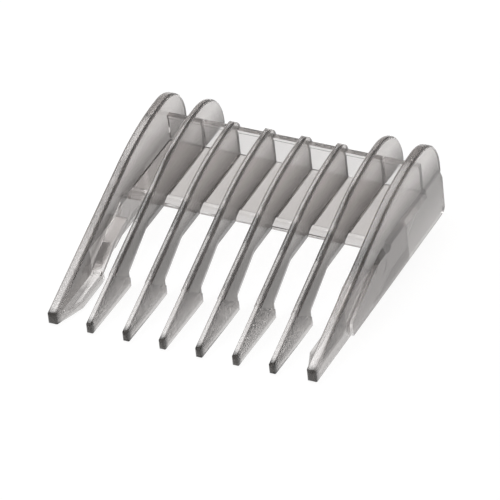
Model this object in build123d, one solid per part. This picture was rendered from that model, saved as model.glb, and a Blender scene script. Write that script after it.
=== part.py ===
from build123d import *
from math import atan, cos, sin
import os

# Slip-on guide comb for a hair clipper: one injection moulding in translucent plastic, divided at
# its natural boundaries into closed solids that meet face to face.
# Millimetres. X across the comb, -Y towards the tooth tips, +Z up, away from the clipper's blade.
# Places named *_y are measured back from the foremost tips, and *_z up from the base.

# Row of teeth
tooth_count = 8
tooth_pitch = 6.0
tooth_thickness = 1.15
outer_tooth_thickness = 1.65
edge_share = 0.42            # round along a crown, as a share of the inner teeth's thickness

# Tips
nose_top_z = 1.7
nose_round = 0.8             # of a tip's front, above
nose_foot_round = 0.5        # and below
sole_width = 1.4
tip_width = 1.11             # between the drafted sides, at the foot of the nose
tip_taper = 0.02             # how far each side closes in, for each mm towards the nose
tip_draft = 0.07             # and for each mm up
tip_edge_round = 0.24
tip_rear_y = 8.3             # end of a tip's drafted sides, at the crown
stop_y = 12.8                # step behind a sole that stops the blade
stop_z = 1.6
nose_width = 1.0
outer_nose_y = 0.25          # the outer tips stand a little behind the others
outer_lag = -0.3             # how far their crowns stand behind the others
outer_narrowing = 0.3        # inner side of an outer tip, at its nose
outer_widening_y = 1.0
outer_nose_corner = 0.6

# Deck, rear wall and lobes, from the back
comb_length = 47.1           # foremost tips to the back of the lobes
wall_setback = 6.4           # back of the rear wall, in front of the lobes' backs
deck_length = 14.7           # front of the lip to the back of the wall
deck_top_z = 6.9
deck_thickness = 1.3
lip_radius = 1.0
wall_thickness = 0.8
wall_height = 4.7
rim_thickness = 1.0
rim_height = 0.5
crown_rise = 1.9             # crown of a short tooth above the rim
crown_level = 2.1            # level end of that crown
crown_run = 7.9              # from the knee of a crown to the end of its arc
corner_radius = 2.4          # rear corner of a short tooth, down to the rim
lobe_rise = 0.9              # top of a lobe above a short tooth
lobe_foot = 0.15             # upright foot of a lobe, above the deck's level
outer_lobe_setback = 0.9

# Blade pocket under a tooth
pocket_drop = 0.2            # roof of the pocket below the deck's underside
pocket_share = 0.54          # of the way from the stop to the lip, taken up by the pocket's ramp
pocket_round = 1.6
bevel_height = 1.3           # knife bevel along the pocket's edges
bevel_width = 0.38

# Sides
skirt_thickness = 1.2
skirt_overhang = 0.45        # how far a skirt stands outside its tooth
skirt_lead = 0.4             # front of a skirt ahead of the blade stop
skirt_setback = 1.7
skirt_corner = 1.0
ramp_front_z = 2.4           # underside of an outer tooth where its skirt starts
ramp_setback = 3.0           # end of that underside's ramp, in front of the lip
shoulder_rise = 0.5          # of the shoulder above a tooth's underside
shoulder_drop = 0.7          # of the skirt's top below it
shoulder_share = 0.25        # how much of both is left along the ramp
shoulder_front = 1.8         # where they start to grow, in front of the ramp's end
shoulder_rear = 2.1          # and where they are whole, behind it
rail_thickness = 0.5
rail_bottom_z = 1.9
rail_level = 6.1             # level end of a rail, back from the middle of the lip
rail_ramp = 6.5              # slope from there down to the base
pip_depth = 0.2              # catch pip on a rail
pip_length = 3.2
pip_width = 2.3
pip_corner = 0.4
pip_turn = -37.0
pip_lead = 2.7               # in front of the middle of the lip
pip_z = 4.1
pad_width = 1.7
pad_height = 1.4
pad_front_y = 1.0
pad_full_y = 5.5
pad_bevel = 0.3
ledge_thickness = 0.6        # ledge beside an outer tooth, from its pad up to the deck's front
ledge_knee_z = 4.5
ledge_knee_share = 0.62      # of the way from the stop to the pocket's roof
ledge_end = 1.7              # level end of a ledge behind the front of the pocket's roof

# Worked out from the above
half_row = (tooth_count - 1) / 2 * tooth_pitch
outer_inside_x = half_row - tooth_thickness / 2
outer_outside_x = outer_inside_x + outer_tooth_thickness
skirt_outside_x = outer_outside_x + skirt_overhang
skirt_inside_x = skirt_outside_x - skirt_thickness
rail_inside_x = skirt_inside_x - rail_thickness
wall_rear_y = comb_length - wall_setback
lip_front_y = wall_rear_y - deck_length
lip_centre_y = lip_front_y + lip_radius
wall_top_z = deck_top_z + wall_height
crown_z = wall_top_z + crown_rise
crown_slope = (crown_z - nose_top_z) / (wall_rear_y - crown_level - crown_run)
lobe_z = crown_z + lobe_rise
lobe_radius = lobe_z - deck_top_z - lobe_foot
lobe_apex_y = comb_length - lobe_radius
pocket_z = deck_top_z - deck_thickness - pocket_drop
pocket_y = stop_y + pocket_share * (lip_front_y - stop_y)
skirt_front_y = stop_y - skirt_lead
skirt_rear_y = comb_length - skirt_setback
ramp_rear_y = lip_front_y - ramp_setback

side_view = Plane.YZ


def block(x0, x1, y0, y1, z0, z1):
    """Box between two corners."""
    return Pos((x0 + x1) / 2, (y0 + y1) / 2, (z0 + z1) / 2) * Box(x1 - x0, y1 - y0, z1 - z0)


def slab(outline, x0, x1):
    """Solid of a side-view face between two places across the comb."""
    return Pos(x0, 0, 0) * extrude(side_view * outline, x1 - x0)


def section(points, y):
    """Upright face across the comb, with its corners given as (x, z)."""
    return Plane((0, y, 0), x_dir=(1, 0, 0), z_dir=(0, -1, 0)) * make_face(Polyline(*points, close=True))


def round_corner(face, place, radius):
    """Round the corner of a side-view face that lies at the given place."""
    corner = min(face.vertices(), key=lambda v: (Vector(v.X, v.Y) - Vector(*place)).length)
    return fillet(corner, radius)


def crown(lag, nose_y, apex_y, top_z):
    """Straight front of a crown, as steep on every tooth, and the long arc that levels it off."""
    knee_y = lag + (top_z - nose_top_z) / crown_slope
    run = apex_y - knee_y
    slope = atan(crown_slope)
    arc_start = (knee_y - run * cos(slope), top_z - run * sin(slope))
    front = Line((nose_y, nose_top_z + crown_slope * (nose_y - lag)), arc_start)
    return [front, TangentArc(arc_start, (apex_y, top_z), tangent=(cos(slope), sin(slope)))]


def tooth_blank(curves, points, thickness, rounds=()):
    """Tooth of a given side view on the comb's centre plane, with a rounded crown."""
    foot = (curves[0] @ 0).X
    outline = make_face(Curve() + curves + [Polyline(curves[-1] @ 1, *points, (foot, 0), curves[0] @ 0)])
    for place, radius in rounds:
        outline = round_corner(outline, place, radius)
    blank = slab(outline, -thickness / 2, thickness / 2)
    tops = [side.edges().sort_by(Axis.Z)[-1] for side in blank.faces().filter_by(Axis.X)]
    return fillet(tops, edge_share * tooth_thickness)


def nose_outline(front, rear_points):
    """Side view of a tip, rounded above and below in front, under the straight front of its crown."""
    nose_y, top_z = (front @ 0).X, (front @ 0).Y
    face = make_face(Polyline((nose_y, 0), *rear_points, (nose_y, top_z), close=True))
    return round_corner(round_corner(face, (nose_y, top_z), nose_round), (nose_y, 0), nose_foot_round)


def knife_edge(tooth):
    """Bevel both sides of the blade pocket down to a thin edge."""
    roof_middle = Vector(0, (pocket_y + lip_centre_y) / 2, pocket_z)
    for side in (0, -1):
        face = tooth.faces().filter_by(Axis.X).sort_by(Axis.X)[side]
        roof = min(face.edges(), key=lambda e: (e.center() - roof_middle).length)
        tooth = chamfer(roof, bevel_height, bevel_width, reference=face)
    return tooth


def inner_tip(front):
    """Drafted tip that ends behind on a line leaning forward from the blade stop to the crown."""
    half = sole_width / 2
    above = [(y, nose_top_z + crown_slope * y) for y in (stop_y + 1, -1)]
    tip = slab(make_face(Polyline((-1, 0), (stop_y + 1, 0), *above, close=True)), -half, half)
    for side in (1, -1):
        flank = Plane((side * tip_width / 2, 0, 0), z_dir=(side, -tip_taper, tip_draft))
        tip = split(tip, flank, keep=Keep.BOTTOM)
    tip = fillet(tip.faces().sort_by(Axis.Z)[-1].edges().sort_by(SortBy.LENGTH)[-2:], tip_edge_round)
    rear = [(stop_y, 0), (stop_y, stop_z), (tip_rear_y, nose_top_z + crown_slope * tip_rear_y)]
    tip &= slab(nose_outline(front, rear), -half, half)
    nose = nose_width / 2
    right = [(nose, nose), (half, nose + (half - nose) / tip_taper), (half, comb_length)]
    sides = Polyline(*right, *[(-x, y) for x, y in reversed(right)])
    return tip & extrude(make_face(sides + ThreePointArc((-nose, nose), (0, 0), (nose, nose))), lobe_z)


def inner_tooth(lobed):
    """Inner tooth on the comb's centre plane, with a rear lobe or ending on the rear wall."""
    if lobed:
        rear_y = comb_length
        curves = crown(0, 0, lobe_apex_y, lobe_z)
        curves.append(RadiusArc((lobe_apex_y, lobe_z), (rear_y, lobe_z - lobe_radius), lobe_radius))
    else:
        rear_y = wall_rear_y
        curves = crown(0, 0, rear_y - crown_level, crown_z)
        curves.append(Line(curves[-1] @ 1, (rear_y, crown_z)))
    knee = (pocket_y, pocket_z)
    deck = [(rear_y, deck_top_z), (lip_centre_y, deck_top_z), (lip_centre_y, pocket_z)]
    pocket = [knee, (stop_y, stop_z), (stop_y, 0)]
    blade = knife_edge(tooth_blank(curves, deck + pocket, tooth_thickness, [(knee, pocket_round)]))
    lean = [(tip_rear_y, nose_top_z + crown_slope * tip_rear_y), (stop_y, stop_z)]
    steep = (lean[1][0] - lean[0][0]) / (lean[0][1] - lean[1][1])
    ahead = [(-1, -1), (lean[1][0] + steep * (stop_z + 1), -1), (lean[0][0] - steep * 2, lean[0][1] + 2)]
    blade -= slab(make_face(Polyline(*ahead, (-1, lean[0][1] + 2), close=True)), -tooth_thickness, tooth_thickness)
    return blade + inner_tip(curves[0])


def rear_corner():
    """What is cut off a short tooth to roll its rear corner down to the rim."""
    front_y, rear_y, above_z = wall_rear_y - crown_level, wall_rear_y + 1, crown_z + 1
    roll = RadiusArc((front_y, crown_z), (wall_rear_y, wall_top_z), corner_radius)
    waste = Polyline(roll @ 1, (rear_y, wall_top_z), (rear_y, above_z), (front_y, above_z), roll @ 0)
    return slab(make_face(roll + waste), -tooth_thickness, tooth_thickness)


def outer_tooth():
    """Thick right-hand tooth in its place, its underside on the shoulder and the rail."""
    rear_y = comb_length - outer_lobe_setback
    radius = rear_y - lobe_apex_y
    curves = crown(outer_lag, outer_nose_y, lobe_apex_y, lobe_z)
    curves.append(RadiusArc((lobe_apex_y, lobe_z), (rear_y, lobe_z - radius), radius))
    ramp = [(ramp_rear_y, deck_top_z), (skirt_front_y, ramp_front_z), (skirt_front_y, 0)]
    tooth = tooth_blank(curves, [(rear_y, deck_top_z), *ramp], outer_tooth_thickness)
    tooth = Pos(outer_inside_x + outer_tooth_thickness / 2, 0, 0) * tooth
    behind = [(comb_length, 0), (comb_length, 2 * lobe_z), curves[0] @ 1]
    side = slab(nose_outline(curves[0], behind), outer_inside_x, outer_outside_x)
    nose = [(outer_inside_x + outer_narrowing, outer_nose_y), (outer_outside_x, outer_nose_y)]
    rear = [(outer_outside_x, comb_length), (outer_inside_x, comb_length), (outer_inside_x, outer_widening_y)]
    plan = make_face(Polyline(*nose, *rear, close=True))
    plan = fillet(plan.vertices().sort_by(Axis.Y)[:2], outer_nose_corner)
    return tooth & side & extrude(plan, 2 * lobe_z)


def tip_pad():
    """Wedge-shaped foot on the inner side of the right-hand tip, pointed in front."""
    inside_x = outer_inside_x - pad_width
    front = [(outer_inside_x, pad_front_y), (inside_x, pad_full_y)]
    rear = [(inside_x, stop_y), (outer_inside_x, stop_y)]
    pad = extrude(make_face(Polyline(*front, *rear, close=True)), pad_height)
    top = pad.faces().sort_by(Axis.Z)[-1]
    return chamfer(top.edges().sort_by(Axis.X)[:2], pad_bevel)


def blade_ledge(tooth):
    """Narrow ledge on the inner side of the right-hand tooth, from its pad up to the pocket's roof."""
    knee_y = stop_y + ledge_knee_share * (pocket_y - stop_y)
    end_y = pocket_y + ledge_end
    top = [(skirt_front_y - 0.6, pad_height), (knee_y, ledge_knee_z), (pocket_y + 0.8, pocket_z), (end_y, pocket_z)]
    under = [(end_y, pocket_z - ledge_thickness), (pocket_y + 0.8, pocket_z - ledge_thickness)]
    under += [(knee_y + 0.3, ledge_knee_z - ledge_thickness), (stop_y, pad_height)]
    ledge = slab(make_face(Polyline(*top, *under, close=True)), outer_inside_x - pad_width, rail_inside_x)
    return ledge - tooth


def shoulder_stations():
    """Along the shoulder: place, skirt's top, underside of the tooth, shoulder's top."""
    share = shoulder_share
    ramp = (deck_top_z - ramp_front_z) / (ramp_rear_y - skirt_front_y)
    stations = [
        (skirt_front_y, ramp_front_z, share, share),
        (ramp_rear_y - shoulder_front, deck_top_z - ramp * shoulder_front, share, share),
        (ramp_rear_y, deck_top_z, 1, share),
        (ramp_rear_y + shoulder_rear, deck_top_z, 1, 1),
        (skirt_rear_y, deck_top_z, 1, 1),
    ]
    return [(y, z - drop * shoulder_drop, z, z + rise * shoulder_rise) for y, z, drop, rise in stations]


def shoulder():
    """Sloped step from the outer face of the right-hand tooth out to its skirt."""
    sections = []
    for y, low_z, under_z, top_z in shoulder_stations():
        outside = [(skirt_inside_x, low_z), (skirt_outside_x, low_z), (outer_outside_x, top_z)]
        sections.append(section([*outside, (outer_outside_x, under_z), (skirt_inside_x, under_z)], y))
    spans = [loft([front, rear], ruled=True) for front, rear in zip(sections, sections[1:])]
    return spans[0].fuse(*spans[1:])


def skirt():
    """Right-hand side wall under the shoulder."""
    top = [(y, low_z) for y, low_z, under_z, top_z in shoulder_stations()]
    face = make_face(Polyline((skirt_front_y, 0), *top, (skirt_rear_y, 0), close=True))
    face = round_corner(face, (skirt_rear_y, 0), skirt_corner)
    return slab(face, skirt_inside_x, skirt_outside_x)


def guide_rail():
    """Raised rail on the inner face of the right-hand skirt, with its catch pip."""
    rear_y = lip_centre_y + rail_level
    top = [(skirt_front_y, 0), (skirt_front_y, ramp_front_z), (ramp_rear_y, deck_top_z), (rear_y, deck_top_z)]
    under = [(rear_y, rail_bottom_z), (lip_centre_y, rail_bottom_z), (lip_centre_y - rail_ramp, 0)]
    rail = slab(make_face(Polyline(*top, *under, close=True)), rail_inside_x, skirt_inside_x)
    pip = chamfer(Rectangle(pip_length, pip_width).vertices(), pip_corner)
    pip = Pos(lip_centre_y - pip_lead, pip_z) * Rot(0, 0, pip_turn) * pip
    return rail + slab(pip, rail_inside_x - pip_depth, rail_inside_x)


def mirrored(solid):
    """Left-hand twin of a right-hand solid."""
    return mirror(solid, about=Plane.YZ)


nodes = {}

# Sides
thick = outer_tooth()
right_side = {"skirt": skirt(), "shoulder": shoulder(), "guide_rail": guide_rail()}
right_side |= {"tip_pad": tip_pad(), "blade_ledge": blade_ledge(thick)}
for name, solid in right_side.items():
    nodes[name + "_right"] = solid
    nodes[name + "_left"] = mirrored(solid)

# Deck between the sides: a rounded lip along its front and a plate behind it
deck_bottom_z = deck_top_z - deck_thickness
lip = Cylinder(lip_radius, 2 * rail_inside_x)
lip = Pos(0, lip_centre_y, deck_top_z - lip_radius) * Rot(0, 90, 0) * lip
plate = block(-skirt_inside_x, skirt_inside_x, lip_centre_y, wall_rear_y, deck_bottom_z, deck_top_z)
nodes["deck_front_lip"] = lip
nodes["deck_plate"] = plate - lip - nodes["guide_rail_left"] - nodes["guide_rail_right"]

# Rear wall between the outer teeth, with a thicker rim along its top
rim_bottom_z = wall_top_z - rim_height
across = (-outer_inside_x, outer_inside_x)
web = block(*across, wall_rear_y - wall_thickness, wall_rear_y, deck_top_z, rim_bottom_z)
rim = block(*across, wall_rear_y - rim_thickness, wall_rear_y, rim_bottom_z, wall_top_z)
nodes["rear_wall"] = web
nodes["rear_wall_rim"] = rim

# Teeth, numbered from the left: the outer two are thick and their neighbours carry rear lobes
short = inner_tooth(False) - rear_corner() - lip - web - rim
lobed = inner_tooth(True) - lip - web - rim
nodes["tooth_1"] = mirrored(thick)
nodes[f"tooth_{tooth_count}"] = thick
for number in range(2, tooth_count):
    tooth = lobed if number in (2, tooth_count - 1) else short
    nodes[f"tooth_{number}"] = Pos((number - 1) * tooth_pitch - half_row, 0, 0) * tooth

os.makedirs("parts", exist_ok=True)
for name, solid in nodes.items():
    export_step(Pos(0, -comb_length / 2, 0) * solid, f"parts/{name}.step")
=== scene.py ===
import bpy
import bmesh
import math
from mathutils import Matrix, Vector


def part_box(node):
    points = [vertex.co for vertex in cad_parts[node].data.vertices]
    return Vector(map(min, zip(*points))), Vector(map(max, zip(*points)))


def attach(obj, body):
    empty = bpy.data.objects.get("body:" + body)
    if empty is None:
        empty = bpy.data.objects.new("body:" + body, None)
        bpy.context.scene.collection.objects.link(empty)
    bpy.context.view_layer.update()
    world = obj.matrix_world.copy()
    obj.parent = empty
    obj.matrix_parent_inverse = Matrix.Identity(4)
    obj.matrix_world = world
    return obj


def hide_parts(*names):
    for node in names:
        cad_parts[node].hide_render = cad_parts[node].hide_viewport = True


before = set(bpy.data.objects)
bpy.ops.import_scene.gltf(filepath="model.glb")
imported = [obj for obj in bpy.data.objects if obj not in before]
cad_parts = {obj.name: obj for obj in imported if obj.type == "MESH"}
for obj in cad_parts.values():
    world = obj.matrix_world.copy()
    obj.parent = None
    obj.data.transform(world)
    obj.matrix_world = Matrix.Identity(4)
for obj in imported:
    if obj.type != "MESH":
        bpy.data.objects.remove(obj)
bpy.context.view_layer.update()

mm = 0.001


def say(text):
    print("stage:", text, flush=True)


def selectOnly(obj):
    bpy.ops.object.select_all(action="DESELECT")
    obj.hide_set(False)
    obj.select_set(True)
    bpy.context.view_layer.objects.active = obj


def settle(obj):
    # the place goes into the mesh, so that the object stands at the origin
    selectOnly(obj)
    bpy.ops.object.transform_apply(location=True, rotation=True, scale=True)


def applyModifier(obj, kind, **settings):
    selectOnly(obj)
    modifier = obj.modifiers.new(kind.lower(), kind)
    for name, value in settings.items():
        setattr(modifier, name, value)
    bpy.ops.object.modifier_apply(modifier=modifier.name)


# How the loose triangles of a CAD node become clean faces
weld = {
    "within": 0.001 * mm,
    "flat": math.radians(0.3),  # triangles that differ by less become one face
}


def mergedCopy(node, name):
    # a copy of a CAD node, with its loose triangles joined
    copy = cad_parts[node].copy()
    copy.data = copy.data.copy()
    copy.name = name
    bpy.context.collection.objects.link(copy)
    copy.parent = None
    copy.hide_render = False
    selectOnly(copy)
    bpy.ops.object.mode_set(mode="EDIT")
    bpy.ops.mesh.select_all(action="SELECT")
    bpy.ops.mesh.remove_doubles(threshold=weld["within"])
    bpy.ops.mesh.select_all(action="SELECT")
    bpy.ops.mesh.dissolve_limited(angle_limit=weld["flat"])
    bpy.ops.object.mode_set(mode="OBJECT")
    return copy


# Rounded nose of a tooth
nose = {
    "reach": 1.6 * mm,
    "angle": math.radians(25),  # edges sharper than this are rounded
    "width": 0.40 * mm,
    "segments": 4,
}


def roundNose(obj):
    # the sharp edges of a tooth's foremost end are weighted and bevelled
    mesh = obj.data
    front = min(vertex.co.y for vertex in mesh.vertices) + nose["reach"]
    work = bmesh.new()
    work.from_mesh(mesh)
    layers = work.edges.layers.float
    layer = layers.get("bevel_weight_edge") or layers.new("bevel_weight_edge")
    for edge in work.edges:
        sharp = len(edge.link_faces) == 2 and edge.calc_face_angle(0) > nose["angle"]
        edge[layer] = 1.0 if sharp and all(vertex.co.y < front for vertex in edge.verts) else 0.0
    work.to_mesh(mesh)
    work.free()
    applyModifier(obj, "BEVEL", limit_method="WEIGHT", width=nose["width"], segments=nose["segments"])


def unite(base, others):
    for other in others:
        applyModifier(base, "BOOLEAN", operation="UNION", solver="MANIFOLD", object=other)
        bpy.data.objects.remove(other)


# Where the moulding's main parts are, read from the CAD nodes
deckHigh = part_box("deck_plate")[1]
lipLow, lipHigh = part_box("deck_front_lip")
wallLow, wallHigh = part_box("rear_wall")
toothNames = ["tooth_%d" % number for number in range(1, 9)]
toothBoxes = [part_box(name) for name in toothNames]
say("frame read")

# Rolled front edge of the deck: a cylinder a hair larger than the CAD node, so that it covers it
lip = {
    "swell": 0.015 * mm,
    "segments": 96,
}
lipRadius = (lipHigh[2] - lipLow[2]) / 2 + lip["swell"]
bpy.ops.object.select_all(action="DESELECT")
bpy.ops.mesh.primitive_cylinder_add(
    vertices=lip["segments"],
    radius=lipRadius,
    depth=lipHigh[0] - lipLow[0],
    location=(0, (lipLow[1] + lipHigh[1]) / 2, (lipLow[2] + lipHigh[2]) / 2),
    rotation=(0, math.pi / 2, 0),
)
lipPiece = bpy.context.object
lipPiece.name = "lip_work"
settle(lipPiece)
say("lip made")

# Moulded fillet at the foot of a tooth on the deck: a hollow strip, modelled once and copied
cove = {
    "radius": 0.3 * mm,
    "sink": 0.08 * mm,  # how far its two flat sides stand inside the deck and the tooth
    "bite": 0.012 * mm,  # a little deeper still, so that no curved edge ends exactly on a face
    "segments": 48,
    "overrun": 1.1,
    "toothHalf": 0.575 * mm,  # half the thickness of teeth 2 to 7
    "frontGap": 0.2 * mm,  # from the lip's axis back to a strip's start
    "rearReach": 0.3 * mm,  # from the wall's front face into the wall
    "wallGap": 0.2 * mm,  # what the wall's own strip is shorter than the wall
}


def coveStrip(name, length):
    # a square bar along Y from which a round bar is taken
    size = cove["radius"] + cove["sink"]
    bpy.ops.object.select_all(action="DESELECT")
    bpy.ops.mesh.primitive_cube_add(size=1, location=(size / 2 - cove["sink"], 0, size / 2 - cove["sink"]))
    bar = bpy.context.object
    bar.name = name
    bar.scale = (size, length, size)
    settle(bar)
    bpy.ops.object.select_all(action="DESELECT")
    bpy.ops.mesh.primitive_cylinder_add(
        vertices=cove["segments"],
        radius=cove["radius"],
        depth=length * cove["overrun"],
        location=(cove["radius"], 0, cove["radius"]),
        rotation=(math.pi / 2, 0, 0),
    )
    hollow = bpy.context.object
    settle(hollow)
    applyModifier(bar, "BOOLEAN", operation="DIFFERENCE", solver="EXACT", object=hollow)
    bpy.data.objects.remove(hollow)
    return bar


def placedCopy(source, name, matrix):
    copy = source.copy()
    copy.data = source.data.copy()
    copy.name = name
    bpy.context.collection.objects.link(copy)
    copy.data.transform(matrix)
    if matrix.determinant() < 0:
        copy.data.flip_normals()
    return copy


deckTop = deckHigh[2]
footFront = (lipLow[1] + lipHigh[1]) / 2 + cove["frontGap"]
footRear = wallLow[1] + cove["rearReach"]
footStrip = coveStrip("cove_foot", footRear - footFront)
coves = []
lastIndex = len(toothBoxes) - 1
for index, (low, high) in enumerate(toothBoxes):
    for side in (-1, 1):
        # the two outer teeth are thicker and have a fillet on their inner side only
        if (index, side) in ((0, -1), (lastIndex, 1)):
            continue
        edge = (low[0] + high[0]) / 2 + side * cove["toothHalf"]
        if index == 0:
            edge = high[0]
        if index == lastIndex:
            edge = low[0]
        corner = (edge - side * cove["bite"], (footFront + footRear) / 2, deckTop - cove["bite"])
        place = Matrix.Translation(corner) @ Matrix.Scale(side, 4, (1, 0, 0))
        coves.append(placedCopy(footStrip, "cove_%d_%d" % (index, side), place))
bpy.data.objects.remove(footStrip)

# The same fillet along the foot of the rear wall
wallStrip = coveStrip("cove_wall", wallHigh[0] - wallLow[0] - cove["wallGap"])
corner = (0, wallLow[1] + cove["bite"], deckTop - cove["bite"])
place = Matrix.Translation(corner) @ Matrix.Rotation(-math.pi / 2, 4, "Z")
coves.append(placedCopy(wallStrip, "cove_rear", place))
bpy.data.objects.remove(wallStrip)
say("fillets made")

# One moulding: the copies of the CAD nodes are united, because the real comb has no seams
union = {
    "quadFlat": math.radians(8),
    "quadShape": math.radians(180),
    "sharpFrom": math.radians(30),
}
moulding = mergedCopy("deck_plate", "comb_moulding")
others = []
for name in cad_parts:
    if name in ("deck_plate", "deck_front_lip"):
        continue
    other = mergedCopy(name, "work_" + name)
    if name in toothNames:
        roundNose(other)
    others.append(other)
unite(moulding, [lipPiece] + others + coves)
selectOnly(moulding)
bpy.ops.object.mode_set(mode="EDIT")
bpy.ops.mesh.select_all(action="SELECT")
bpy.ops.mesh.tris_convert_to_quads(face_threshold=union["quadFlat"], shape_threshold=union["quadShape"])
bpy.ops.object.mode_set(mode="OBJECT")
bpy.ops.object.shade_smooth_by_angle(angle=union["sharpFrom"])
applyModifier(moulding, "WEIGHTED_NORMAL", keep_sharp=True)
check = bmesh.new()
check.from_mesh(moulding.data)
openEdges = sum(not edge.is_manifold for edge in check.edges)
print("open edges", openEdges, "faces", len(check.faces), "volume in mm3", check.calc_volume() / mm ** 3)
check.free()
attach(moulding, "root")
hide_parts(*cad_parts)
say("moulding united")


class Sock:
    # a shader socket that can stand in sums
    def __init__(self, tree, socket):
        self.tree = tree
        self.socket = socket

    def maths(self, operation, *others, swap=False):
        values = (others[0], self) if swap else (self, *others)
        return self.tree.node("ShaderNodeMath", {"operation": operation}, dict(enumerate(values)))

    def clamped(self):
        return self.maths("MINIMUM", 1.0).maths("MAXIMUM", 0.0)

    def absolute(self):
        return self.maths("ABSOLUTE")

    def rising(self, start, span):
        # 0 up to start, 1 from start + span on
        return ((self - start) / span).clamped()

    def falling(self, end, span):
        # 1 up to end - span, 0 from end on
        return ((end - self) / span).clamped()

    def __add__(self, other):
        return self.maths("ADD", other)

    def __radd__(self, other):
        return self.maths("ADD", other, swap=True)

    def __sub__(self, other):
        return self.maths("SUBTRACT", other)

    def __rsub__(self, other):
        return self.maths("SUBTRACT", other, swap=True)

    def __mul__(self, other):
        return self.maths("MULTIPLY", other)

    def __rmul__(self, other):
        return self.maths("MULTIPLY", other, swap=True)

    def __truediv__(self, other):
        return self.maths("DIVIDE", other)

    def __rtruediv__(self, other):
        return self.maths("DIVIDE", other, swap=True)


class Tree:
    # one node tree: each node is made by its type, its settings and then its sockets
    def __init__(self, data):
        self.data = data
        data.nodes.clear()

    def make(self, kind, settings=None, sockets=None):
        made = self.data.nodes.new(kind)
        for name, value in (settings or {}).items():
            setattr(made, name, value)
        for name, value in (sockets or {}).items():
            if isinstance(value, Sock):
                self.data.links.new(value.socket, made.inputs[name])
            else:
                made.inputs[name].default_value = value
        return made

    def node(self, kind, settings=None, sockets=None, out=0):
        return Sock(self, self.make(kind, settings, sockets).outputs[out])

    def mix(self, factor, first, second):
        # counted from 0, the colours of a Mix node are inputs 6 and 7 and output 2
        return self.node("ShaderNodeMix", {"data_type": "RGBA"}, {0: factor, 6: first, 7: second}, out=2)


# Smoked plastic: clear with a haze, with painted shade at the feet, the rounded edges and the noses
plastic = {
    # faces that look along Z and Y: lit and shaded tints of one plastic, painted light and shade
    "upFacingPaintedShade": (0.70, 0.682, 0.67, 1),
    "endFacingPaintedLight": (0.97, 0.96, 0.955, 1),
    "faceFrom": 0.55,
    "faceSpan": 0.3,
    # sides of the teeth: painted shade at the feet between the teeth and towards the bottom, lighter
    # upwards
    "faceTint": (0.98, 0.955, 0.94, 1),
    "footShadeTint": (0.24, 0.227, 0.219, 1),
    "footZ": 6.5 * mm,
    "footSpan": 5.0 * mm,
    "bottomShadeTint": (0.50, 0.482, 0.47, 1),
    "lowZ": 4.2 * mm,
    "lowSpan": 4.2 * mm,
    # outsides of the skirts: painted shade on their front part, painted light on their rear part
    "sideFrom": 22.15 * mm,
    "sideSpan": 0.1 * mm,
    "skirtFrontShade": (0.27, 0.257, 0.25, 1),
    "skirtRearLight": (0.74, 0.725, 0.715, 1),
    "skirtShadeEndY": 8.8 * mm,
    "skirtShadeEndSpan": 0.25 * mm,
    # rounded and slanting edges: painted shade as dark lines, and rougher
    "edgeShadeTint": (0.22, 0.21, 0.205, 1),
    "edgeAt": 0.58,
    "edgeSpan": 0.34,
    "edgeRoughness": 0.22,
    # thin ledges inside the outer teeth: painted light
    "shelfLightTint": (0.97, 0.95, 0.94, 1),
    "shelfInside": 17.8 * mm,
    "shelfOutside": 21.2 * mm,
    "shelfFront": -11.4 * mm,
    "shelfTop": 5.8 * mm,
    "shelfSoft": 0.1 * mm,
    # noses of the teeth: painted shade, nearly black
    "noseShadeTint": (0.010, 0.009, 0.008, 1),
    "noseFrom": -22.9 * mm,
    "noseSpan": 0.9 * mm,
    # the clear part, its haze and the smoke inside
    "transmission": 0.96,
    "roughness": 0.16,
    "ior": 1.49,
    "hazeTop": 0.07,
    "hazeFace": 0.15,
    "hazeShade": 0.8,
    "hazeRoughness": 0.35,
    "absorption": (0.30, 0.22, 0.19, 1),
    "density": 70.0,
    "shade": (0.80, 0.79, 0.785, 1),
    "grainScale": 2600.0,
    "grainDetail": 2.0,
    "grainFrom": 0.35,
    "grainSpan": 0.3,
    "grainDepth": 0.015,
}
black = (0, 0, 0, 1)


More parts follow.
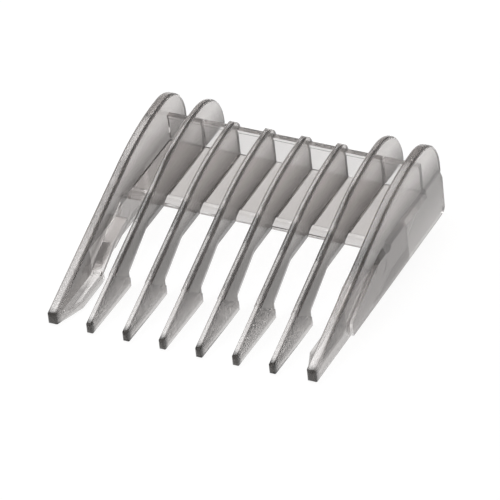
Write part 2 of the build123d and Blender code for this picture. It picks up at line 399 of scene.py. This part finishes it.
def plasticTint(tree, place, sideways, backward, edge):
    # the tint by the way a face looks, its height and its place on the comb: painted light and shade, with
    # a real grain on top
    parts = tree.make("ShaderNodeSeparateXYZ", {}, {"Vector": place})
    along = Sock(tree, parts.outputs["Y"])
    height = Sock(tree, parts.outputs["Z"])
    beside = Sock(tree, parts.outputs["X"]).absolute()
    # painted shade: the sides of the teeth are darker at their feet on the deck and towards the bottom
    outOfFootShade = height.rising(plastic["footZ"], plastic["footSpan"])
    low = height.falling(plastic["lowZ"], plastic["lowSpan"])
    face = tree.mix(low, tree.mix(outOfFootShade, plastic["footShadeTint"], plastic["faceTint"]), plastic["bottomShadeTint"])
    # painted shade on the front of the skirts' outsides, painted light on their rear
    outside = beside.rising(plastic["sideFrom"], plastic["sideSpan"])
    behindSkirtShade = along.rising(plastic["skirtShadeEndY"] - plastic["skirtShadeEndSpan"] / 2, plastic["skirtShadeEndSpan"])
    side = tree.mix(behindSkirtShade, plastic["skirtFrontShade"], plastic["skirtRearLight"])
    # painted light and shade: faces that look up, along Y and along X get lit and shaded tints of one
    # plastic
    level = tree.mix(backward, plastic["upFacingPaintedShade"], plastic["endFacingPaintedLight"])
    walls = tree.mix(sideways, level, tree.mix(outside, face, side))
    # painted shade: dark lines along the rounded and slanting edges
    rounded = tree.mix(edge, walls, plastic["edgeShadeTint"])
    # painted light on the thin ledges inside the outer teeth
    soft = plastic["shelfSoft"]
    shelf = beside.rising(plastic["shelfInside"], soft) * beside.falling(plastic["shelfOutside"], soft)
    shelf = shelf * along.rising(plastic["shelfFront"], soft) * height.falling(plastic["shelfTop"], soft)
    # painted shade: the teeth's noses are nearly black
    noseEnd = along.falling(plastic["noseFrom"] + plastic["noseSpan"], plastic["noseSpan"])
    plain = tree.mix(noseEnd, tree.mix(shelf, rounded, plastic["shelfLightTint"]), plastic["noseShadeTint"])
    grain = tree.node("ShaderNodeTexNoise", {}, {
        "Vector": place,
        "Scale": plastic["grainScale"],
        "Detail": plastic["grainDetail"],
    })
    speck = (grain - plastic["grainFrom"]) * plastic["grainDepth"] / plastic["grainSpan"]
    return tree.mix(speck, plain, black)


def plasticMaterial():
    material = bpy.data.materials.new("smoked_plastic")
    material.use_nodes = True
    tree = Tree(material.node_tree)
    coordinates = tree.make("ShaderNodeTexCoord")
    place = Sock(tree, coordinates.outputs["Object"])
    normal = Sock(tree, coordinates.outputs["Normal"])
    facing = tree.make("ShaderNodeSeparateXYZ", {}, {"Vector": normal})
    across = Sock(tree, facing.outputs["X"]).absolute()
    # masks by the way a face looks, which pick the painted light and shade and the haze
    sideways = across.rising(plastic["faceFrom"], plastic["faceSpan"])
    backward = Sock(tree, facing.outputs["Y"]).absolute().rising(plastic["faceFrom"], plastic["faceSpan"])
    edge = (across - plastic["edgeAt"]).absolute().falling(plastic["edgeSpan"], plastic["edgeSpan"])
    tint = plasticTint(tree, place, sideways, backward, edge)
    clear = tree.node("ShaderNodeBsdfPrincipled", {}, {
        "Base Color": tint,
        "Transmission Weight": plastic["transmission"],
        "Roughness": edge * plastic["edgeRoughness"] + plastic["roughness"],
        "IOR": plastic["ior"],
    })
    milky = tree.node("ShaderNodeBsdfPrincipled", {}, {
        "Base Color": tree.mix(plastic["hazeShade"], black, tint),
        "Roughness": plastic["hazeRoughness"],
        "IOR": plastic["ior"],
    })
    haze = sideways * plastic["hazeFace"] + plastic["hazeTop"]
    surface = tree.node("ShaderNodeMixShader", {}, {0: haze, 1: clear, 2: milky})
    # light falls through the plastic, so that its shadow is pale
    through = tree.node("ShaderNodeBsdfTransparent", {}, {"Color": plastic["shade"]})
    path = tree.make("ShaderNodeLightPath")
    shadowRay = Sock(tree, path.outputs["Is Shadow Ray"])
    mixed = tree.node("ShaderNodeMixShader", {}, {0: shadowRay, 1: surface, 2: through})
    smoke = tree.node("ShaderNodeVolumeAbsorption", {}, {
        "Color": plastic["absorption"],
        "Density": plastic["density"],
    })
    tree.make("ShaderNodeOutputMaterial", {}, {"Surface": mixed, "Volume": smoke})
    return material


moulding.data.materials.clear()
moulding.data.materials.append(plasticMaterial())
say("plastic made")

# Floor: plain and pale, white to the camera and through the plastic
stage = {
    "floorSize": 4.0,
    "floorColor": (0.93, 0.93, 0.93, 1),
    "floorGlow": 0.8,
    "glowStrength": 1.1,
    "worldColor": (0.38, 0.38, 0.38, 1),
    "worldStrength": 1.0,
}
bpy.ops.object.select_all(action="DESELECT")
bpy.ops.mesh.primitive_plane_add(size=stage["floorSize"], location=(0, 0, 0))
floor = bpy.context.object
floor.name = "floor"


def floorMaterial():
    material = bpy.data.materials.new("floor_white")
    material.use_nodes = True
    tree = Tree(material.node_tree)
    plain = tree.node("ShaderNodeBsdfDiffuse", {}, {"Color": stage["floorColor"]})
    glow = tree.node("ShaderNodeEmission", {}, {"Color": (1, 1, 1, 1), "Strength": stage["glowStrength"]})
    path = tree.make("ShaderNodeLightPath")
    kinds = ("Is Camera Ray", "Is Glossy Ray", "Is Transmission Ray")
    cameraRay, glossyRay, transmissionRay = (Sock(tree, path.outputs[kind]) for kind in kinds)
    seen = (cameraRay + glossyRay + transmissionRay).clamped()
    mixed = tree.node("ShaderNodeMixShader", {}, {0: seen * stage["floorGlow"], 1: plain, 2: glow})
    tree.make("ShaderNodeOutputMaterial", {}, {"Surface": mixed})
    return material


floor.data.materials.append(floorMaterial())

world = bpy.data.worlds.new("studio")
bpy.context.scene.world = world
world.use_nodes = True
tree = Tree(world.node_tree)
sky = tree.node("ShaderNodeBackground", {}, {
    "Color": stage["worldColor"],
    "Strength": stage["worldStrength"],
})
tree.make("ShaderNodeOutputWorld", {}, {"Surface": sky})

# Soft lamp: one long strip above the left side, so that the crowns shine along their length
strip = {
    "place": Vector((-0.30, 0.20, 0.62)),
    "aim": Vector((0, 0, 0)),
    "length": 0.55,
    "width": 0.3,
    "watts": 2.8,
}
lamp = bpy.data.lights.new("strip", "AREA")
lamp.shape = "RECTANGLE"
lamp.size = strip["length"]
lamp.size_y = strip["width"]
lamp.energy = strip["watts"]
lampObject = bpy.data.objects.new("strip", lamp)
bpy.context.collection.objects.link(lampObject)
lampObject.location = strip["place"]
lampObject.rotation_euler = (strip["aim"] - strip["place"]).to_track_quat("-Z", "Y").to_euler()
bpy.context.scene.view_settings.view_transform = "Standard"
say("stage lit")

# Camera: angles in degrees, distance in metres, lens and sensor in millimetres
camera = {
    "azimuth": 29.20,
    "elevation": 36.27,
    "roll": 6.21,
    "distance": 0.944,
    "lens": 462.5,
    "sensor": 36,
    "farthest": 10,
    "target": (6.42808 * mm, -10.61071 * mm, 11.55378 * mm),
}
azimuth, elevation, roll = (math.radians(camera[name]) for name in ("azimuth", "elevation", "roll"))
right = Vector((math.cos(azimuth), math.sin(azimuth), 0))
level = Vector((math.sin(azimuth), -math.cos(azimuth), 0))
back = level * math.cos(elevation) + Vector((0, 0, math.sin(elevation)))
up = back.cross(right)
rolledRight = right * math.cos(roll) - up * math.sin(roll)
rolledUp = right * math.sin(roll) + up * math.cos(roll)
cameraData = bpy.data.cameras.new("camera")
cameraData.sensor_width = camera["sensor"]
cameraData.lens = camera["lens"]
cameraData.clip_end = camera["farthest"]
cameraObject = bpy.data.objects.new("camera", cameraData)
bpy.context.collection.objects.link(cameraObject)
turned = Matrix((rolledRight, rolledUp, back)).transposed().to_4x4()
turned.translation = Vector(camera["target"]) + back * camera["distance"]
cameraObject.matrix_world = turned
bpy.context.scene.camera = cameraObject
say("camera set")
